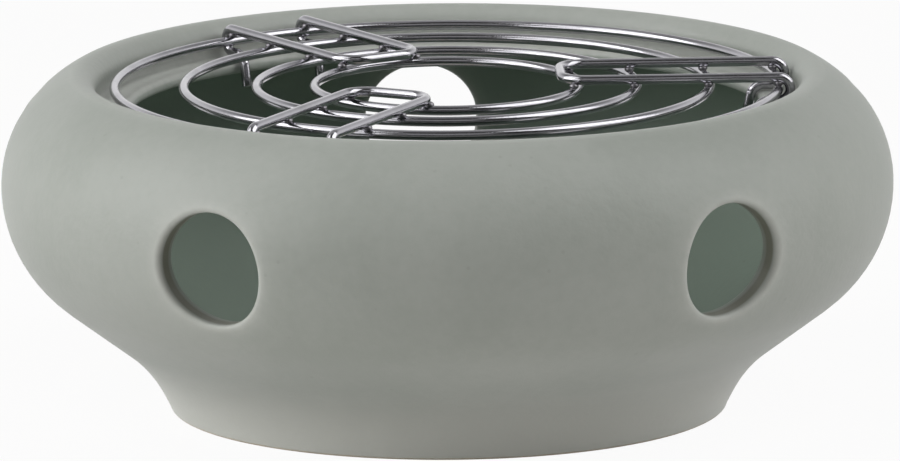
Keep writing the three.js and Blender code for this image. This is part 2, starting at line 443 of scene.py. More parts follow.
@dataclass(frozen=True)
class ChromePlate(Finish):
    """Bright plate on steel wire, dulled where the wires are welded."""

    name = "chrome_plate"
    plate: Colour = srgb(174, 173, 178)
    dull: Colour = srgb(128, 126, 130)
    smear_scale: float = 160.0
    film: Point = (0.45, 0.8)
    film_depth: float = 0.35
    roughness: float = 0.13
    smear_roughness: float = 0.06
    weld_roughness: float = 0.2
    grain_scale: float = 2600.0
    relief: float = 0.012

    def sockets(self, graph: Graph) -> dict[str, object]:
        """Works out the shader's sockets.

        Args:
            graph: The material's graph.

        Returns:
            Values and signals by the socket's name.
        """
        place = graph.place()
        smear = graph.noise(place, self.smear_scale, 3)
        weld = graph.mask(Mask.WELD)
        film = (smear.ramp(*self.film) * self.film_depth).highest(weld)
        return {
            "Base Color": graph.blend(film, self.plate, self.dull),
            "Metallic": 1.0,
            "Roughness": self.roughness + smear * self.smear_roughness + weld * self.weld_roughness,
            "Normal": graph.bump(graph.noise(place, self.grain_scale, 2), self.relief),
        }


@dataclass(frozen=True)
class DrawnAluminium(Finish):
    """Thin drawn cup metal with faint lines round it."""

    name = "drawn_aluminium"
    metal: Colour = srgb(226, 227, 229)
    line: Colour = srgb(203, 205, 208)
    line_stretch: Sequence[float] = (4, 4, 900)
    line_scale: float = 2.4
    line_share: float = 0.15
    dent_scale: float = 120.0
    roughness: float = 0.24
    line_roughness: float = 0.14
    relief: float = 0.2

    def sockets(self, graph: Graph) -> dict[str, object]:
        """Works out the shader's sockets.

        Args:
            graph: The material's graph.

        Returns:
            Values and signals by the socket's name.
        """
        lines = graph.noise(graph.place(self.line_stretch), self.line_scale, 3)
        dents = graph.noise(graph.place(), self.dent_scale, 1)
        return {
            "Base Color": graph.blend(lines, self.line, self.metal),
            "Metallic": 1.0,
            "Roughness": self.roughness + lines * self.line_roughness,
            "Normal": graph.bump(lines.shared(self.line_share, dents), self.relief),
        }


@dataclass(frozen=True)
class Tinplate(Finish):
    """Plain tinned sheet."""

    name = "tinplate"
    metal: Colour = srgb(190, 191, 190)
    stain: Colour = srgb(160, 160, 157)
    spangle_scale: float = 700.0
    roughness: float = 0.28
    spangle_roughness: float = 0.2

    def sockets(self, graph: Graph) -> dict[str, object]:
        """Works out the shader's sockets.

        Args:
            graph: The material's graph.

        Returns:
            Values and signals by the socket's name.
        """
        spangle = graph.noise(graph.place(), self.spangle_scale, 3)
        return {
            "Base Color": graph.blend(spangle, self.stain, self.metal),
            "Metallic": 1.0,
            "Roughness": self.roughness + spangle * self.spangle_roughness,
        }


@dataclass(frozen=True)
class Paraffin(Finish):
    """White wax, a little cloudy, with a soft skin."""

    name = "paraffin"
    wax: Colour = srgb(241, 239, 232)
    cloudy: Colour = srgb(228, 225, 215)
    cloud_scale: float = 210.0
    cloud: Point = (0.35, 0.7)
    cloud_share: float = 0.7
    skin_scale: float = 600.0
    roughness: float = 0.36
    skin_roughness: float = 0.2
    relief: float = 0.25
    glow: float = 0.25
    glow_colour: Sequence[float] = (1.0, 0.9, 0.7)
    glow_depth: float = 2.0

    def sockets(self, graph: Graph) -> dict[str, object]:
        """Works out the shader's sockets.

        Args:
            graph: The material's graph.

        Returns:
            Values and signals by the socket's name.
        """
        cloud = graph.noise(graph.place(), self.cloud_scale, 3)
        skin = graph.noise(graph.place(), self.skin_scale, 2)
        return {
            "Base Color": graph.blend(cloud.ramp(*self.cloud), self.cloudy, self.wax),
            "Roughness": self.roughness + skin * self.skin_roughness,
            "Normal": graph.bump(cloud.shared(self.cloud_share, skin), self.relief),
            "Subsurface Weight": self.glow,
            "Subsurface Radius": self.glow_colour,
            "Subsurface Scale": self.glow_depth * MM,
        }


@dataclass(frozen=True)
class WaxedCotton(Finish):
    """Braided wick, stiff with wax."""

    name = "waxed_cotton"
    thread: Colour = srgb(233, 227, 212)
    groove: Colour = srgb(196, 187, 166)
    fibre_stretch: Sequence[float] = (1, 1, 0.3)
    fibre_scale: float = 5200.0
    fibre: Point = (0.3, 0.7)
    roughness: float = 0.72
    fibre_roughness: float = 0.2
    relief: float = 0.12

    def sockets(self, graph: Graph) -> dict[str, object]:
        """Works out the shader's sockets.

        Args:
            graph: The material's graph.

        Returns:
            Values and signals by the socket's name.
        """
        fibre = graph.noise(graph.place(self.fibre_stretch), self.fibre_scale, 3)
        return {
            "Base Color": graph.blend(fibre.ramp(*self.fibre), self.groove, self.thread),
            "Roughness": self.roughness + fibre * self.fibre_roughness,
            "Normal": graph.bump(fibre, self.relief),
        }


def linked(name: str, data: bpy.types.ID) -> bpy.types.Object:
    """Makes an object of a mesh, lamp or camera.

    Args:
        name: The object's name.
        data: What it shows.

    Returns:
        The object, linked to the scene.
    """
    made = bpy.data.objects.new(name, data)
    bpy.context.scene.collection.objects.link(made)
    return made


@dataclass
class Shell:
    """Vertices in millimetres and faces of a mesh in the making, with masks on its vertices."""

    points: np.ndarray
    faces: list[tuple[int, ...]]
    masks: dict[Mask, np.ndarray] = field(default_factory=dict)

    def bridge(self, loop: Sequence[int], other: Sequence[int]) -> None:
        """Adds the faces between two loops of vertices.

        Args:
            loop: The first loop.
            other: The second one, with as many vertices.
        """
        for i, number in enumerate(loop):
            after = (i + 1) % len(loop)
            self.faces.append((number, loop[after], other[after], other[i]))

    def add_loop(
        self, loop: Sequence[int], points: np.ndarray, masks: Mapping[Mask, float]
    ) -> list[int]:
        """Adds a loop of vertices and joins it to the last one.

        Args:
            loop: The last loop's vertices.
            points: The new loop's points.
            masks: Masks that are not 0 there.

        Returns:
            The new loop's vertices.
        """
        added = list(range(len(self.points), len(self.points) + len(points)))
        self.points = np.concatenate([self.points, points])
        for mask, values in self.masks.items():
            level = np.full(len(points), masks.get(mask, 0.0))
            self.masks[mask] = np.concatenate([values, level])
        self.bridge(loop, added)
        return added

    def joined(self, others: Sequence[Shell]) -> Shell:
        """Adds further shells.

        Args:
            others: Shells with the same masks.

        Returns:
            One shell of them all.
        """
        shells = [self, *others]
        starts = np.cumsum([0] + [len(s.points) for s in shells])
        faces = [
            tuple(int(i + start) for i in face)
            for shell, start in zip(shells, starts)
            for face in shell.faces
        ]
        masks = {m: np.concatenate([s.masks[m] for s in shells]) for m in self.masks}
        return Shell(np.concatenate([s.points for s in shells]), faces, masks)

    def piece(self, name: str, material: bpy.types.Material) -> bpy.types.Object:
        """Makes a smooth Blender object of the vertices that faces use.

        Args:
            name: The piece's name.
            material: Its finish.

        Returns:
            The object, linked to the scene.
        """
        used = np.unique([i for face in self.faces for i in face])
        number = np.full(len(self.points), -1)
        number[used] = np.arange(len(used))
        faces = [tuple(int(number[i]) for i in face) for face in self.faces]
        mesh = bpy.data.meshes.new(name)
        mesh.from_pydata((self.points[used] * MM).tolist(), [], faces)
        mesh.validate()
        for mask, values in self.masks.items():
            layer = mesh.attributes.new(mask.value, "FLOAT", "POINT")
            layer.data.foreach_set("value", values[used].astype(np.float32))
        mesh.polygons.foreach_set("use_smooth", [True] * len(mesh.polygons))
        mesh.materials.append(material)
        mesh.update()
        return linked(name, mesh)


def settle(piece: bpy.types.Object, body: Body, node: str) -> bpy.types.Object:
    """Puts a piece on its body in place of a solid.

    Args:
        piece: The piece.
        body: The body that it moves with.
        node: The solid that it stands for.

    Returns:
        The piece.
    """
    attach(piece, body.value)
    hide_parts(node)
    return piece


def equal_turns(count: int) -> np.ndarray:
    """Gives equally spaced angles round a circle."""
    return np.arange(count) * FULL_TURN / count


def level_circle(radius: float, height: float, count: int) -> np.ndarray:
    """Draws a level circle about the Z axis.

    Args:
        radius: Its radius.
        height: Its height.
        count: How many points it has.

    Returns:
        Its points.
    """
    turns = equal_turns(count)
    return np.stack([radius * np.cos(turns), radius * np.sin(turns), np.full(count, height)], axis=1)


def turned(points: np.ndarray, angle: float) -> np.ndarray:
    """Turns points about the Z axis.

    Args:
        points: The points.
        angle: The angle in radians.

    Returns:
        The turned points.
    """
    cos, sin = math.cos(angle), math.sin(angle)
    return points @ np.array([[cos, sin, 0], [-sin, cos, 0], [0, 0, 1]])


def moved(start: Point, angle: float, length: float) -> Point:
    """Goes from a point of a section in a direction.

    Args:
        start: Radius and height of the point.
        angle: The direction in radians.
        length: How far.

    Returns:
        The point that is reached.
    """
    return (start[0] + length * math.cos(angle), start[1] + length * math.sin(angle))


def arc(centre: Point, radius: float, start: float, end: float) -> list[Point]:
    """Draws an arc of a section finely.

    Args:
        centre: Radius and height of its centre.
        radius: Its radius.
        start: First angle in radians.
        end: Last angle in radians.

    Returns:
        Its points.
    """
    spacing, fewest = 0.2, 4
    steps = max(fewest, round(abs(end - start) * radius / spacing))
    return [moved(centre, angle, radius) for angle in np.linspace(start, end, steps + 1)]


class Section:
    """Half section of a turned piece, drawn up its outside: a fine line and its mesh rows."""

    def __init__(self) -> None:
        """Starts with nothing drawn."""
        self.line: list[Point] = []
        self.rows: list[float] = []

    def _lengths(self) -> np.ndarray:
        """Measures the line up to each of its points."""
        steps = np.diff(np.array(self.line), axis=0)
        return np.concatenate([[0.0], np.cumsum(np.hypot(*steps.T))])

    def draw(self, points: Sequence[Point], rows: int) -> range:
        """Adds a stretch after a straight line from where the last one ended.

        Args:
            points: The stretch's points.
            rows: How many mesh rows it is cut into.

        Returns:
            The numbers of its rows, both ends included.
        """
        if not self.line or math.dist(self.line[-1], points[0]) > TOUCHING:
            self.line.append(points[0])
        begin = self._lengths()[-1]
        self.line.extend(points[1:])
        stations = np.linspace(begin, self._lengths()[-1], rows + 1)
        if self.rows and abs(self.rows[-1] - begin) < TOUCHING:
            stations = stations[1:]
        self.rows.extend(stations.tolist())
        return range(len(self.rows) - rows - 1, len(self.rows))

    def at(self, stations: np.ndarray) -> tuple[np.ndarray, np.ndarray]:
        """Finds points of the line.

        Args:
            stations: Lengths along the line.

        Returns:
            Radii and heights.
        """
        line, lengths = np.array(self.line), self._lengths()
        return np.interp(stations, lengths, line[:, 0]), np.interp(stations, lengths, line[:, 1])

    def curvature(self) -> np.ndarray:
        """Measures how sharply the line turns at each mesh row.

        Returns:
            One over the radius in millimetres, positive on outer edges.
        """
        reach = 0.35
        ends = [np.array(self.at(np.array(self.rows) + step)) for step in (-reach, 0.0, reach)]
        before, after = ends[1] - ends[0], ends[2] - ends[1]
        turn = np.arctan2(
            before[0] * after[1] - before[1] * after[0],
            before[0] * after[0] + before[1] * after[1],
        )
        return turn / reach

    def station(self, height: float, rows: range) -> float:
        """Finds where a stretch passes a height.

        Args:
            height: The height.
            rows: The stretch's rows.

        Returns:
            The length along the line.
        """
        samples = 800
        stations = np.linspace(self.rows[rows[0]], self.rows[rows[-1]], samples)
        heights = self.at(stations)[1]
        order = np.argsort(heights, kind="stable")
        return float(np.interp(height, heights[order], stations[order]))


def lathe(section: Section, columns: int) -> Shell:
    """Turns a section about the Z axis.

    Args:
        section: The section, which starts and ends on the axis or closes on itself.
        columns: Columns round the axis.

    Returns:
        The shell, with one vertex where the section meets the axis.
    """
    radii, heights = section.at(np.array(section.rows))
    circles = [level_circle(radius, height, columns) for radius, height in zip(radii, heights)]
    number = np.arange(len(radii) * columns).reshape(len(radii), columns)
    for row in (0, -1):
        if radii[row] < TOUCHING:
            number[row, :] = number[row, 0]
    if radii[0] > TOUCHING:
        number[-1, :] = number[0, :]
    faces = []
    for below, above in zip(number, number[1:]):
        for column in range(columns):
            after = (column + 1) % columns
            corners = (below[column], below[after], above[after], above[column])
            faces.append(tuple(int(c) for c in dict.fromkeys(corners)))
    return Shell(np.concatenate(circles), faces)


# Width and reach of the loops that dome a cut end of wire, as shares of the wire's radius.
END_DOME = ((0.97, 0.1), (0.88, 0.18), (0.6, 0.24), (0.02, 0.26))


def tube(path: np.ndarray, radius: float, sides: int, closed: bool) -> Shell:
    """Sweeps a round wire along a path.

    Args:
        path: Points of its centre line.
        radius: The wire's radius.
        sides: Columns round the wire.
        closed: Whether the path is a ring; otherwise the ends are cut and slightly domed.

    Returns:
        The shell.
    """
    if closed:
        tangents = np.roll(path, -1, axis=0) - np.roll(path, 1, axis=0)
    else:
        tangents = np.gradient(path, axis=0)
    tangents /= np.linalg.norm(tangents, axis=1)[:, None]
    upright = 1e-3
    side = np.cross(tangents[0], (0.0, 0.0, 1.0))
    if np.linalg.norm(side) < upright:
        side = np.cross(tangents[0], (0.0, 1.0, 0.0))
    turns = equal_turns(sides)
    rims = []
    for tangent in tangents:
        side = side - tangent * np.dot(side, tangent)
        side = side / np.linalg.norm(side)
        across = np.cross(tangent, side)
        rims.append(radius * (np.outer(np.cos(turns), side) + np.outer(np.sin(turns), across)))

    rows = [centre + rim for centre, rim in zip(path, rims)]
    if not closed:
        for end, outwards in ((0, -radius * tangents[0]), (-1, radius * tangents[-1])):
            caps = [path[end] + outwards * reach + rims[end] * width for width, reach in END_DOME]
            rows = caps[::-1] + rows if end == 0 else rows + caps
    shell = Shell(np.concatenate(rows), [])
    loops = [range(row * sides, (row + 1) * sides) for row in range(len(rows))]
    for below, above in zip(loops, loops[1:] + loops[:1] if closed else loops[1:]):
        shell.bridge(below, above)
    if not closed:
        shell.faces += [tuple(loops[0])[::-1], tuple(loops[-1])]
    return shell


@dataclass(frozen=True)
class WallFace:
    """One face of the bowl's wall, where vents pierce it."""

    rows: range
    edge: float
    hand: int
    hidden: float


@dataclass
class CeramicBowl:
    """The stoneware bowl: a turned hollow wall with round vents whose edges are softened."""

    belly_radius: float = 79.92
    belly_height: float = 40.6
    belly_round: float = 25.4
    foot_radius: float = 50.0
    foot_height: float = 8.5
    foot_flare: float = 4.0
    foot_edge: float = 0.8
    foot_land: float = 6.5
    foot_depth: float = 2.5
    base_margin: float = 2.0
    waist_cove: float = 26.0
    rim_height: float = 60.8
    rim_inset: float = 13.52
    rim_round: float = 3.5
    wall: float = 4.6
    ledge_height: float = 54.8
    ledge_land: float = 5.0
    lip_nose: float = 1.2
    lip_under: Point = (2.5, 5.0)
    recess_cove: float = 1.2
    cavity_round: float = 5.0
    floor_round: float = 7.0
    seat_radius: float = 21.0
    seat_bead: float = 1.2
    seat_rise: float = 2.0
    seat_fillet: float = 0.5
    seat_margin: float = 4.0
    vent_count: int = 5
    vent_radius: float = 10.25
    vent_height: float = 37.8
    vent_turn: float = math.radians(3.6)
    vent_edge: float = 1.1
    vent_edge_inside: float = 0.6
    # Mesh: columns round the bowl, and the patch of it that each vent takes up.
    columns: int = 180
    patch_columns: int = 16
    patch_rows: int = 20
    patch_reach: float = math.radians(47)
    patch_cone: float = 0.7
    # Loops round a vent: the way out to the patch's border, and how thin the glaze is there.
    face_loops: Sequence[Point] = ((0.62, 0.0), (0.36, 0.0), (0.18, 0.1), (0.06, 0.4), (0.0, 0.8))
    # Loops over a vent's edge: degrees from the bore to the face, and how thin the glaze is.
    edge_loops: Sequence[Point] = ((68, 1.0), (46, 1.0), (24, 1.0), (0, 0.5))
    bore_loops: Point = (0.2, 0.67)
    # Glaze: the bends, in 1/mm, from which it thins or pools, and their range.
    thin_from: float = 0.12
    pooled_from: float = 0.02
    bend_range: float = 0.5
    # Painted light: the recess cove, ledge and top of the lip's nose get the pale colour at this
    # strength, all round.
    ledge_painted_light: float = 1.4
    ledge_rows: int = 6
    # Painted shade inside: it starts this many rows before the ledge's last row, on the lip's nose, and
    # is full a few rows later.
    inside_lead: int = 3
    inside_fade: int = 4

    def _belly(self) -> Point:
        """Finds the centre of the belly's lower round."""
        return (self.belly_radius - self.belly_round, self.belly_height)

    def _waist(self) -> tuple[float, Point]:
        """Finds the cone between belly and foot.

        Returns:
            The angle that the cone faces and the corner where it meets the foot's side.
        """
        corner = (self.foot_radius + self.foot_flare, self.foot_height)
        across, down = (c - b for c, b in zip(corner, self._belly()))
        facing = math.atan2(down, across) + math.acos(self.belly_round / math.hypot(across, down))
        return facing, corner

    def _upper(self) -> tuple[Point, float]:
        """Finds the arc from the widest line to the rim.

        Returns:
            Its centre and radius.
        """
        rise = self.rim_height - self.rim_round - self.belly_height
        spare = self.rim_inset - self.rim_round
        radius = (self.rim_inset**2 + rise**2 - self.rim_round**2) / (2 * spare)
        return (self.belly_radius - radius, self.belly_height), radius

    def _draw_outside(self, section: Section) -> range:
        """Draws from the middle of the base over the rim.

        Args:
            section: The section to draw on.

        Returns:
            The rows of the band that the vents pierce.
        """
        facing, corner = self._waist()
        upper, upper_radius = self._upper()
        belly, band = self._belly(), self.patch_reach
        edge, depth = self.foot_edge, self.foot_depth
        land = self.foot_radius - self.foot_land

        foot = (self.foot_radius, edge)
        climb = facing + RIGHT_ANGLE
        turn = math.atan2(corner[1] - foot[1], corner[0] - foot[0]) - climb
        tangent = min(self.waist_cove * math.tan(turn / 2), math.dist(foot, corner))
        cove = tangent / math.tan(turn / 2)
        middle = moved(moved(corner, climb, tangent), facing, cove)

        rim = (self.belly_radius - self.rim_inset, self.rim_height - self.rim_round)
        rim_start = math.atan2(rim[1] - upper[1], rim[0] - upper[0])
        section.draw([(0, depth), (land - self.base_margin, depth)], rows=8)
        section.draw(arc((land - 2 * edge, depth - edge), edge, RIGHT_ANGLE, 0), rows=4)
        section.draw(arc((land + edge, edge), edge, math.pi, 1.5 * math.pi), rows=4)
        section.draw(arc((self.foot_radius - edge, edge), edge, -RIGHT_ANGLE, 0), rows=5)
        section.draw(arc(middle, cove, facing + math.pi + turn, facing + math.pi), rows=10)
        section.draw(arc(belly, self.belly_round, facing, -band), rows=1)
        sides = arc(belly, self.belly_round, -band, 0) + arc(upper, upper_radius, 0, band)[1:]
        pierced = section.draw(sides, self.patch_rows)
        section.draw(arc(upper, upper_radius, band, rim_start), rows=5)
        section.draw(arc(rim, self.rim_round, rim_start, math.pi), rows=14)
        return pierced

    def _draw_inside(self, section: Section) -> tuple[range, range]:
        """Draws from the recess over the ledge and lip to the middle of the floor.

        Args:
            section: The section to draw on.

        Returns:
            The rows of the ledge and those of the band that the vents pierce.
        """
        facing, _ = self._waist()
        upper, upper_radius = self._upper()
        upper_hollow, lower_hollow = upper_radius - self.wall, self.belly_round - self.wall
        recess = self.belly_radius - self.rim_inset - self.rim_round
        nose = (recess - self.ledge_land, self.ledge_height - self.lip_nose)
        underside = nose[1] - self.lip_nose
        under = [(nose[0] + reach, underside) for reach in self.lip_under]

        rise = underside - self.cavity_round - self.belly_height
        reach = math.sqrt((upper_hollow - self.cavity_round) ** 2 - rise**2)
        shoulder = (upper[0] + reach, self.belly_height + rise)
        shoulder_end = math.atan2(rise, reach)

        floor, down = self.foot_depth + self.wall, facing - RIGHT_ANGLE
        cone = moved(self._belly(), facing, lower_hollow)
        rounding = self.floor_round * (1 + math.sin(facing))
        run = (cone[1] - rounding - floor) / math.cos(facing)
        corner = moved(moved(cone, down, run), facing, -self.floor_round)

        cove = self.recess_cove
        bend = arc((recess - cove, self.ledge_height + cove), cove, 0, -RIGHT_ANGLE)
        hollow = section.draw(bend, rows=5)
        lip = section.draw(arc(nose, self.lip_nose, RIGHT_ANGLE, 1.5 * math.pi), rows=14)
        section.draw(under, rows=1)
        band = (
            under[1:]
            + arc(shoulder, self.cavity_round, RIGHT_ANGLE, shoulder_end)
            + arc(upper, upper_hollow, shoulder_end, 0)[1:]
            + arc(self._belly(), lower_hollow, 0, facing)[1:]
            + [moved(cone, down, self.patch_cone * run)]
        )
        pierced = section.draw(band, self.patch_rows)
        section.draw(arc(corner, self.floor_round, facing, -RIGHT_ANGLE), rows=6)
        bead = (self.seat_radius, floor + self.seat_rise - self.seat_bead)
        fillet, beside = self.seat_fillet, self.seat_bead + self.seat_fillet
        outer, inner = ((bead[0] + side, floor + fillet) for side in (beside, -beside))
        section.draw(arc(outer, fillet, -RIGHT_ANGLE, -math.pi), rows=3)
        section.draw(arc(bead, self.seat_bead, 0, math.pi), rows=8)
        section.draw(arc(inner, fillet, 0, -RIGHT_ANGLE), rows=3)
        section.draw([(bead[0] - self.seat_margin, floor), (0, floor)], rows=5)
        return range(hollow[0], lip[self.ledge_rows]), pierced

    def _glaze_masks(self, section: Section, ledge: range) -> dict[Mask, np.ndarray]:
        """Works out where the glaze thins or pools, where the ledge gets painted light and where the
        inside gets a greener tint and painted shade.

        Args:
            section: The bowl's section.
            ledge: The ledge's rows.

        Returns:
            Each mask's value on each row.
        """
        bend = section.curvature()
        thin_and_lit = np.clip((bend - self.thin_from) / self.bend_range, 0, 1)
        pooled = np.clip((-bend - self.pooled_from) / self.bend_range, 0, 1)
        # Painted light on the recess cove, ledge and top of the lip's nose, and no pooled glaze there.
        thin_and_lit[ledge], pooled[ledge] = self.ledge_painted_light, 0.0
        past_ledge = np.arange(len(bend)) - ledge[-1] + self.inside_lead
        return {
            Mask.THIN_AND_LIT: thin_and_lit,
            Mask.POOLED: pooled,
            Mask.INSIDE_SHADE: np.clip(past_ledge / self.inside_fade, 0, 1),
            Mask.BORE: np.zeros(len(bend)),
        }

    def shell(self) -> Shell:
        """Turns the section and lets in the vents.

        Returns:
            The closed shell with its glaze masks.
        """
        section = Section()
        outside = self._draw_outside(section)
        ledge, inside = self._draw_inside(section)
        shell = lathe(section, self.columns)
        masks = self._glaze_masks(section, ledge)
        shell.masks = {mask: np.repeat(values, self.columns) for mask, values in masks.items()}
        shell.points = turned(shell.points, self.vent_turn - RIGHT_ANGLE)
        grid = np.arange(len(shell.points)).reshape(-1, self.columns)
        faces = (
            WallFace(outside, self.vent_edge, hand=1, hidden=0.0),
            WallFace(inside, self.vent_edge_inside, hand=-1, hidden=1.0),
        )
        for vent in range(self.vent_count):
            outer, inner = (self._open_face(shell, section, grid, face, vent) for face in faces)
            loop, target = list(outer.values()), [inner[turn] for turn in outer]
            near, far = shell.points[loop], shell.points[target]
            for share in self.bore_loops:
                loop = shell.add_loop(loop, near + (far - near) * share, {Mask.BORE: 1.0})
            shell.bridge(loop, target)
        return shell

    def _ring(self, section: Section, rows: range, turns: np.ndarray, radius: float) -> np.ndarray:
        """Finds a circle round a vent on one face of the wall.

        Args:
            section: The bowl's section.
            rows: The pierced rows of that face.
            turns: Angles round the vent.
            radius: The circle's radius.

        Returns:
            For each angle the turn about the bowl's axis and the length along the section.
        """
        across, up = radius * np.cos(turns), radius * np.sin(turns)
        stations = np.array([section.station(self.vent_height + v, rows) for v in up])
        radii = section.at(stations)[0]
        return np.stack([np.arcsin(across / radii), stations], axis=1)

    def _patch_rim(self, rows: range, columns: range) -> tuple[list[tuple[int, int]], np.ndarray]:
        """Goes round the border of a vent's patch of the grid.

        Args:
            rows: The patch's rows.
            columns: The patch's columns.

        Returns:
            Row and column of each border vertex, and the angle round the vent that it leads to.
        """
        low, high, left, right = rows[0], rows[-1], columns[0], columns[-1]
        sides = (
            [(low, column) for column in range(left, right)],
            [(row, right) for row in range(low, high)],
            [(high, column) for column in range(right, left, -1)],
            [(row, left) for row in range(high, low, -1)],
        )
        corner, quarter = 225, 90
        turns = [
            corner + quarter * (number + i / len(side))
            for number, side in enumerate(sides)
            for i in range(len(side))
        ]
        return [vertex for side in sides for vertex in side], np.radians(turns)

    def _open_face(
        self, shell: Shell, section: Section, grid: np.ndarray, face: WallFace, vent: int
    ) -> dict[float, int]:
        """Opens a vent in one face of the wall and rounds its edge into the bore.

        Args:
            shell: The bowl so far, which is changed.
            section: The bowl's section.
            grid: Numbers of its vertices by row and column.
            face: The face of the wall.
            vent: The vent's number.

        Returns:
            The bore's first vertices by their angle round the vent in degrees.
        """
        middle = (vent * 2 + 1) * self.columns // (2 * self.vent_count)
        half = self.patch_columns // 2
        columns = range(middle - half, middle + half + 1)
        removed = {
            frozenset(grid[row : row + 2, column : column + 2].ravel().tolist())
            for row in face.rows[:-1]
            for column in columns[:-1]
        }
        shell.faces = [corners for corners in shell.faces if frozenset(corners) not in removed]

        rim, turns = self._patch_rim(face.rows, columns)
        turns = turns * face.hand
        step = FULL_TURN / self.columns
        border = np.array([((column - middle) * step, section.rows[row]) for row, column in rim])
        circle = self._ring(section, face.rows, turns, self.vent_radius + face.edge)
        loops = [(circle + (border - circle) * share, 0.0, thin_and_lit) for share, thin_and_lit in self.face_loops]
        for degrees, thin_and_lit in self.edge_loops:
            roll = math.radians(degrees)
            spread = self.vent_radius + face.edge * (1 - math.cos(roll))
            sunk = face.hand * face.edge * (1 - math.sin(roll))
            loops.append((self._ring(section, face.rows, turns, spread), sunk, thin_and_lit))

        angle = self.vent_turn - RIGHT_ANGLE + (vent + 0.5) * FULL_TURN / self.vent_count
        axis = np.array([math.cos(angle), math.sin(angle), 0.0])
        loop = [int(grid[row, column]) for row, column in rim]
        for places, sunk, thin_and_lit in loops:
            radii, heights = section.at(places[:, 1])
            around = angle + places[:, 0]
            points = np.stack([radii * np.cos(around), radii * np.sin(around), heights], axis=1)
            masks = {Mask.THIN_AND_LIT: thin_and_lit, Mask.INSIDE_SHADE: face.hidden}
            loop = shell.add_loop(loop, points - axis * sunk, masks)
        rounded = np.round(np.degrees(turns) % 360, 3) % 360
        return dict(zip(rounded.tolist(), loop))

    def build(self, glaze: bpy.types.Material) -> list[bpy.types.Object]:
        """Makes the bowl.

        Args:
            glaze: Its finish.

        Returns:
            The one piece.
        """
        bowl = self.shell().piece("stoneware_bowl", glaze)
        return [settle(bowl, Body.BOWL, "ceramic_bowl")]


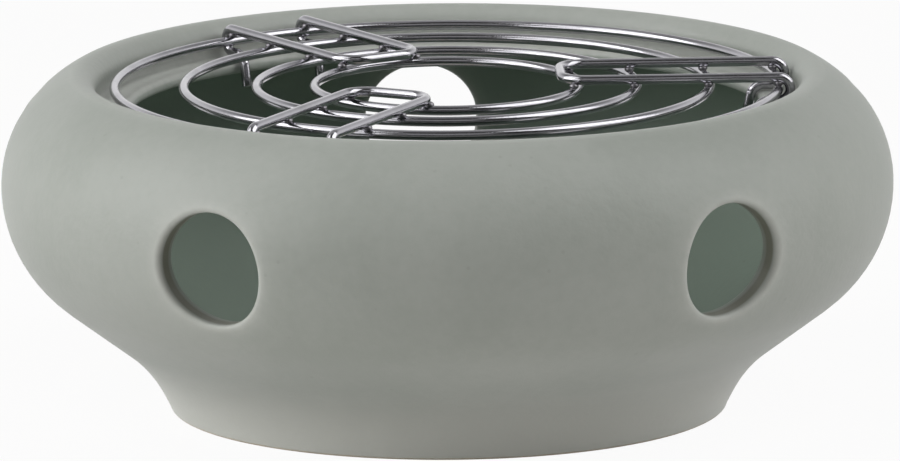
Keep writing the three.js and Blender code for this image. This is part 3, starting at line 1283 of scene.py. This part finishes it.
@dataclass
class WireRack:
    """The rack: wire rings under hairpin spokes, welded where they cross."""

    wire: float = 1.8
    crossing: float = 2.1
    leg_level: float = 60.2
    rings: Mapping[str, float] = field(
        default_factory=lambda: {
            "outer_ring": 59.5,
            "second_ring": 47.1,
            "third_ring": 34.1,
            "inner_ring": 23.7,
        }
    )
    hairpins: Sequence[str] = ("right_hairpin", "back_hairpin", "front_hairpin")
    hairpin_turn: float = math.radians(3)
    hairpin_width: float = 15.8
    hairpin_end: float = 20.4
    hairpin_corner: float = 4.5
    lip_radius: float = 57.9
    lip_height: float = 53.6
    toe_bend: float = 2.4
    toe_length: float = 3.6
    toe_lean: float = math.radians(12)
    weld_size: Sequence[float] = (0.85, 0.85, 0.62)
    # Mesh: columns round the wire, and the points along it.
    sides: int = 20
    ring_spacing: float = 1.6
    corner_points: int = 12
    bend_points: int = 18
    leg_shares: Sequence[float] = (0.25, 0.5, 0.75, 0.96)
    weld_columns: int = 12
    weld_rows: int = 8

    def _wire(self, path: np.ndarray, closed: bool) -> Shell:
        """Draws wire along a path, with no weld on it yet.

        Args:
            path: Points of its centre line.
            closed: Whether the path is a ring.

        Returns:
            The shell.
        """
        shell = tube(path, self.wire / 2, self.sides, closed)
        shell.masks = {Mask.WELD: np.zeros(len(shell.points))}
        return shell

    def ring(self, radius: float) -> Shell:
        """Makes one ring.

        Args:
            radius: Its radius at the wire's centre.

        Returns:
            The shell.
        """
        count = round(FULL_TURN * radius / self.ring_spacing)
        path = level_circle(radius, self.leg_level - self.crossing, count)
        return self._wire(path, closed=True)

    def _reach(self, radius: float) -> float:
        """Finds how far out a leg crosses a circle about the bowl's axis."""
        return math.sqrt(radius**2 - (self.hairpin_width / 2) ** 2)

    def _bend(self, centre: Sequence[float], radius: float, turn: float) -> list[Sequence[float]]:
        """Bends the wire in its upright plane from the top of a circle.

        Args:
            centre: The circle's centre.
            radius: Its radius.
            turn: The angle in radians, outwards where it is above 0.

        Returns:
            The points.
        """
        out, side, up = centre
        angles = np.linspace(0, turn, self.bend_points)
        return [(out + radius * math.sin(a), side, up + radius * math.cos(a)) for a in angles]

    def _half(self, hand: int) -> np.ndarray:
        """Draws half a hairpin, from its closed end out, round the outer ring and over the lip.

        Args:
            hand: 1 or -1 for the leg's side.

        Returns:
            The points of its centre line.
        """
        offset, level = hand * self.hairpin_width / 2, self.leg_level
        corner, end = self.hairpin_corner, self.hairpin_end
        straight = abs(offset) - corner
        path = [(end, hand * share * straight, level) for share in (0, 0.5)]
        for angle in np.linspace(0, RIGHT_ANGLE, self.corner_points):
            across = straight + corner * math.sin(angle)
            path.append((end + corner * (1 - math.cos(angle)), hand * across, level))

        start, outer = end + corner, self._reach(self.rings["outer_ring"])
        path += [(start + (outer - start) * share, offset, level) for share in self.leg_shares]
        path += self._bend((outer, offset, level - self.crossing), self.crossing, math.pi)
        lip = (self._reach(self.lip_radius), offset, self.lip_height)
        path += self._bend(lip, self.toe_bend, self.toe_lean - RIGHT_ANGLE)
        last = np.array(path[-1])
        drop = np.array([-math.sin(self.toe_lean), 0, -math.cos(self.toe_lean)])
        path += [tuple(last + drop * self.toe_length * share) for share in (0.5, 1.0)]
        return np.array(path)

    def _weld(self, along: float, offset: float) -> Shell:
        """Makes the nugget that joins a leg to a ring under it.

        Args:
            along: How far out it lies on the leg.
            offset: The leg's side step.

        Returns:
            The shell.
        """
        section = Section()
        section.draw(arc((0, 0), 1.0, -RIGHT_ANGLE, RIGHT_ANGLE), self.weld_rows)
        shell = lathe(section, self.weld_columns)
        middle = self.leg_level - self.crossing / 2
        shell.points = shell.points * self.weld_size + (along, offset, middle)
        shell.masks = {Mask.WELD: np.ones(len(shell.points))}
        return shell

    def hairpin(self, angle: float) -> Shell:
        """Makes one spoke with its welds.

        Args:
            angle: Its direction about the bowl's axis.

        Returns:
            The shell.
        """
        path = np.concatenate([self._half(-1)[:0:-1], self._half(1)])
        welds = [
            self._weld(self._reach(radius), hand * self.hairpin_width / 2)
            for radius in self.rings.values()
            for hand in (-1, 1)
        ]
        shell = self._wire(path, closed=False).joined(welds)
        shell.points = turned(shell.points, angle)
        return shell

    def build(self, chrome: bpy.types.Material) -> list[bpy.types.Object]:
        """Makes the rack.

        Args:
            chrome: The wires' finish.

        Returns:
            Its rings and spokes.
        """
        shells = {name: self.ring(radius) for name, radius in self.rings.items()}
        for name, turn in zip(self.hairpins, equal_turns(len(self.hairpins))):
            shells[name] = self.hairpin(self.hairpin_turn + turn)
        return [
            settle(shell.piece(f"wire_{name}", chrome), Body.RACK, name)
            for name, shell in shells.items()
        ]


@dataclass
class Tealight:
    """The tealight: a drawn cup, wax and a braided wick; its tin sustainer stays a solid."""

    base: float = 7.4
    radius: float = 18.6
    height: float = 16.0
    wall: float = 0.4
    bead: float = 0.6
    bead_neck: float = 1.0
    heel: float = 1.2
    side_start: float = 3.0
    press_radius: float = 12.6
    press_slope: float = 0.6
    press_depth: float = 0.25
    press_middle: float = 6.0
    wax_level: float = 20.8
    wax_base: float = 8.2
    wax_inset: float = 0.7
    wax_chamfer: float = 1.0
    # The wax's skin: inwards from the cup and up from its level, then out from the wick and up.
    wax_climb: Sequence[Point] = ((0.0, 0.3), (0.3, 0.38), (0.9, 0.1), (2.2, 0.0))
    wax_dip: Sequence[Point] = ((5.0, 0.0), (3.0, -0.1), (1.9, 0.1), (1.3, 0.35))
    wick_gap: float = 0.25
    wick_collar: float = 0.3
    neck_radius: float = 1.9
    neck_top: float = 14.1
    plate_top: float = 9.2
    plate_radius: float = 7.3
    wick_base: float = 9.4
    wick_top: float = 26.5
    wick_radius: float = 0.8
    wick_play: float = 0.02
    wick_spacing: float = 0.22
    strands: int = 3
    strand_share: float = 0.5
    strand_sides: int = 10
    pitch: float = 5.0
    columns: int = 96

    def cup(self) -> Shell:
        """Turns the cup with a ring pressed into its base and a rolled edge.

        Returns:
            The shell.
        """
        base, inner = self.base, self.radius - self.wall
        floor, pressed = base + self.wall, self.press_depth
        press, slope = self.press_radius, self.press_radius + self.press_slope
        heel = (self.radius - self.heel, base + self.heel)
        bead = (inner + self.bead, base + self.height - self.bead)
        neck = bead[1] - self.bead_neck
        roll = -math.acos((self.wall - self.bead) / self.bead)
        section = Section()
        section.draw([(0, base + pressed), (press, base + pressed)], rows=3)
        section.draw([(slope, base), (heel[0], base)], rows=2)
        section.draw(arc(heel, self.heel, -RIGHT_ANGLE, 0), rows=5)
        section.draw([(self.radius, base + self.side_start), (self.radius, neck)], rows=3)
        section.draw(arc(bead, self.bead, roll, math.pi), rows=10)
        section.draw([(inner, neck), (inner, heel[1])], rows=3)
        section.draw(arc(heel, self.heel - self.wall, 0, -RIGHT_ANGLE), rows=4)
        section.draw([(slope, floor), (press, floor + pressed)], rows=1)
        section.draw([(self.press_middle, floor + pressed), (0, floor + pressed)], rows=2)
        return lathe(section, self.columns)

    def wax(self) -> Shell:
        """Turns the wax: it climbs a little at the cup and dips round the wick.

        Returns:
            The shell, hollow where the wick and its sustainer sit.
        """
        outer, low = self.radius - self.wax_inset, self.wax_base
        bore, neck, plate = self.wick_radius + self.wick_gap, self.neck_radius, self.plate_radius
        climb = [(outer - inwards, self.wax_level + up) for inwards, up in self.wax_climb]
        dip = [(out, self.wax_level + up) for out, up in self.wax_dip]
        section = Section()
        section.draw([(plate, low), (outer - self.wax_chamfer, low)], rows=2)
        section.draw([(outer, low + self.wax_chamfer), climb[0]], rows=4)
        section.draw(climb[1:3], rows=2)
        section.draw([climb[3], dip[0]], rows=6)
        section.draw(dip[1:], rows=4)
        section.draw([(bore, self.wax_level + self.wick_collar), (bore, self.neck_top)], rows=3)
        section.draw([(neck, self.neck_top), (neck, self.plate_top)], rows=2)
        section.draw([(plate, self.plate_top), (plate, low)], rows=2)
        return lathe(section, self.columns)

    def wick(self) -> Shell:
        """Twists the wick's strands.

        Returns:
            The shell.
        """
        strand = self.wick_radius * self.strand_share
        reach = self.wick_radius - strand - self.wick_play
        heights = np.arange(self.wick_base, self.wick_top, self.wick_spacing)
        shells = []
        for start in equal_turns(self.strands):
            turns = start + heights / self.pitch * FULL_TURN
            path = np.stack([reach * np.cos(turns), reach * np.sin(turns), heights], axis=1)
            shells.append(tube(path, strand, self.strand_sides, closed=False))
        return shells[0].joined(shells[1:])

    def build(
        self,
        aluminium: bpy.types.Material,
        paraffin: bpy.types.Material,
        cotton: bpy.types.Material,
    ) -> list[bpy.types.Object]:
        """Makes the tealight.

        Args:
            aluminium: The cup's finish.
            paraffin: The wax's finish.
            cotton: The wick's finish.

        Returns:
            Its pieces.
        """
        cup = self.cup().piece("foil_cup", aluminium)
        wax = self.wax().piece("wax_fill", paraffin)
        wick = self.wick().piece("braided_wick", cotton)
        return [
            settle(cup, Body.TEALIGHT, "tealight_cup"),
            settle(wax, Body.TEALIGHT, "tealight_wax"),
            settle(wick, Body.TEALIGHT, "tealight_wick"),
        ]


@dataclass(frozen=True)
class Stand:
    """A place that faces the warmer: degrees to the right of the front and up, and how far away."""

    azimuth: float
    elevation: float
    distance: float

    def carry(self, made: bpy.types.Object, target: Sequence[float], roll: float = 0.0) -> None:
        """Puts a lamp or the camera on the stand.

        Args:
            made: The lamp or camera.
            target: The point that it faces.
            roll: Its turn about the line of sight, in radians.
        """
        turn, rise = math.radians(self.azimuth), math.radians(self.elevation)
        level = math.cos(rise)
        away = Vector((math.sin(turn) * level, -math.cos(turn) * level, math.sin(rise)))
        made.location = Vector(target) + away * self.distance
        made.rotation_mode = "QUATERNION"
        facing = (-away).to_track_quat("-Z", "Y")
        made.rotation_quaternion = facing @ Quaternion((0, 0, 1), roll)


@dataclass(frozen=True)
class Softbox:
    """A soft lamp on its stand."""

    name: str
    stand: Stand
    width: float
    height: float
    glow: float

    def build(self, target: Sequence[float]) -> None:
        """Hangs the lamp.

        Args:
            target: The point that it faces.
        """
        lamp = bpy.data.lights.new(self.name, "AREA")
        lamp.shape = "RECTANGLE"
        lamp.size, lamp.size_y = self.width, self.height
        lamp.energy = self.glow * self.width * self.height * math.pi
        made = linked(self.name, lamp)
        self.stand.carry(made, target)
        made.visible_camera = False


@dataclass
class Studio:
    """White floor and surround, dark behind the camera, with soft lamps and the camera."""

    target: Sequence[float] = (0.0004, 0.0, 0.0317)
    tripod: Stand = Stand(0, 11.15, 3.5)
    roll: float = math.radians(-0.36)
    lens: float = 781.0
    sensor: float = 36.0
    white: Colour = grey(1.0)
    fill: Colour = grey(0.04)
    ceiling: Colour = grey(0.22)
    ceiling_rise: Point = (0.3, 0.75)
    dark_side: Colour = grey(0.05)
    dark_turn: Point = (0.1, -0.35)
    floor_radius: float = 2.5
    floor_points: int = 96
    floor_bounce: Colour = (0.83, 0.805, 0.785, 1.0)
    floor_glow: float = 0.94
    floor_dark: Point = (-0.1, -0.25)
    lamp_target: Sequence[float] = (0.0, 0.0, 0.03)
    softboxes: Sequence[Softbox] = (
        Softbox("softbox_left", Stand(-80, 22, 0.9), 0.7, 0.6, 2.6),
        Softbox("softbox_left_high", Stand(-75, 50, 0.9), 0.7, 0.6, 1.8),
        Softbox("softbox_front_left", Stand(-45, 20, 1.0), 0.6, 0.5, 1.7),
        Softbox("softbox_front", Stand(0, 35, 1.2), 0.8, 0.6, 0.35),
        Softbox("softbox_right", Stand(80, 22, 0.9), 0.7, 0.6, 1.4),
        Softbox("softbox_right_high", Stand(75, 50, 0.9), 0.7, 0.6, 2.4),
        Softbox("softbox_back", Stand(180, 65, 0.9), 0.9, 0.6, 0.25),
    )

    def camera(self) -> None:
        """Sets the camera at the photograph's angle."""
        data = bpy.data.cameras.new("camera")
        data.sensor_width, data.lens = self.sensor, self.lens
        made = linked("camera", data)
        self.tripod.carry(made, self.target, self.roll)
        bpy.context.scene.camera = made

    def _rays(self, graph: Graph) -> tuple[Signal, Signal]:
        """Tells rays that show the surround from those that only light the warmer.

        Args:
            graph: The shader's graph.

        Returns:
            1 for camera and glass rays, and 1 for mirror rays.
        """
        camera = graph.node("ShaderNodeLightPath", output="Is Camera Ray")
        return camera.highest(camera.sibling("Is Transmission Ray")), camera.sibling("Is Glossy Ray")

    def world(self) -> None:
        """Makes the surround: white, mirrored greyer overhead and dark towards the camera."""
        world = bpy.data.worlds.new("surround")
        world.use_nodes = True
        bpy.context.scene.world = world
        graph = Graph(world.node_tree)
        height = graph.part(graph.node("ShaderNodeTexCoord", output="Generated"), "Z")
        depth = height.sibling("Y")
        mirrored = graph.blend(height.ramp(*self.ceiling_rise), self.white, self.ceiling)
        mirrored = graph.blend(depth.ramp(*self.dark_turn), mirrored, self.dark_side)
        shown, mirror = self._rays(graph)
        colour = graph.blend(mirror, graph.blend(shown, self.fill, self.white), mirrored)
        light = graph.node("ShaderNodeBackground", None, {"Color": colour, "Strength": 1.0})
        graph.node("ShaderNodeOutputWorld", None, {"Surface": light})

    def floor(self) -> None:
        """Lays a round white floor that keeps a faint shadow and mirrors dark near the camera."""
        mesh = bpy.data.meshes.new("floor")
        rim = level_circle(self.floor_radius, 0.0, self.floor_points)
        mesh.from_pydata(rim.tolist(), [], [tuple(range(self.floor_points))])
        material, graph = new_material("floor_white")
        matt = graph.node("ShaderNodeBsdfDiffuse", None, {"Color": self.floor_bounce})
        shown, mirror = self._rays(graph)
        near = graph.part(graph.place(), "Y").ramp(*self.floor_dark)
        colour = graph.blend(mirror * near, self.white, self.dark_side)
        glow = graph.node("ShaderNodeEmission", None, {"Color": colour})
        share = shown.highest(mirror) * self.floor_glow
        mixed = graph.node("ShaderNodeMixShader", None, {0: share, 1: matt, 2: glow})
        graph.node("ShaderNodeOutputMaterial", None, {"Surface": mixed})
        mesh.materials.append(material)
        made = linked("floor", mesh)

    def build(self) -> None:
        """Sets up the studio."""
        bpy.context.scene.view_settings.view_transform = "Standard"
        self.camera()
        self.world()
        self.floor()
        for softbox in self.softboxes:
            softbox.build(self.lamp_target)


def main() -> None:
    """Builds the warmer and its studio, and reports each piece."""
    logging.basicConfig(level=logging.INFO, format="%(name)s: %(message)s")
    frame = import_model()
    Studio().build()
    pieces = CeramicBowl().build(StonewareGlaze().material())
    pieces += WireRack().build(ChromePlate().material())
    pieces += Tealight().build(
        DrawnAluminium().material(), Paraffin().material(), WaxedCotton().material()
    )
    sustainer = frame["nodes"]["wick_sustainer"]
    sustainer.data.materials.clear()
    sustainer.data.materials.append(Tinplate().material())
    for piece in [*pieces, sustainer]:
        LOG.info("%s: %d faces", piece.name, len(piece.data.polygons))


if __name__ == "__main__":
    main()
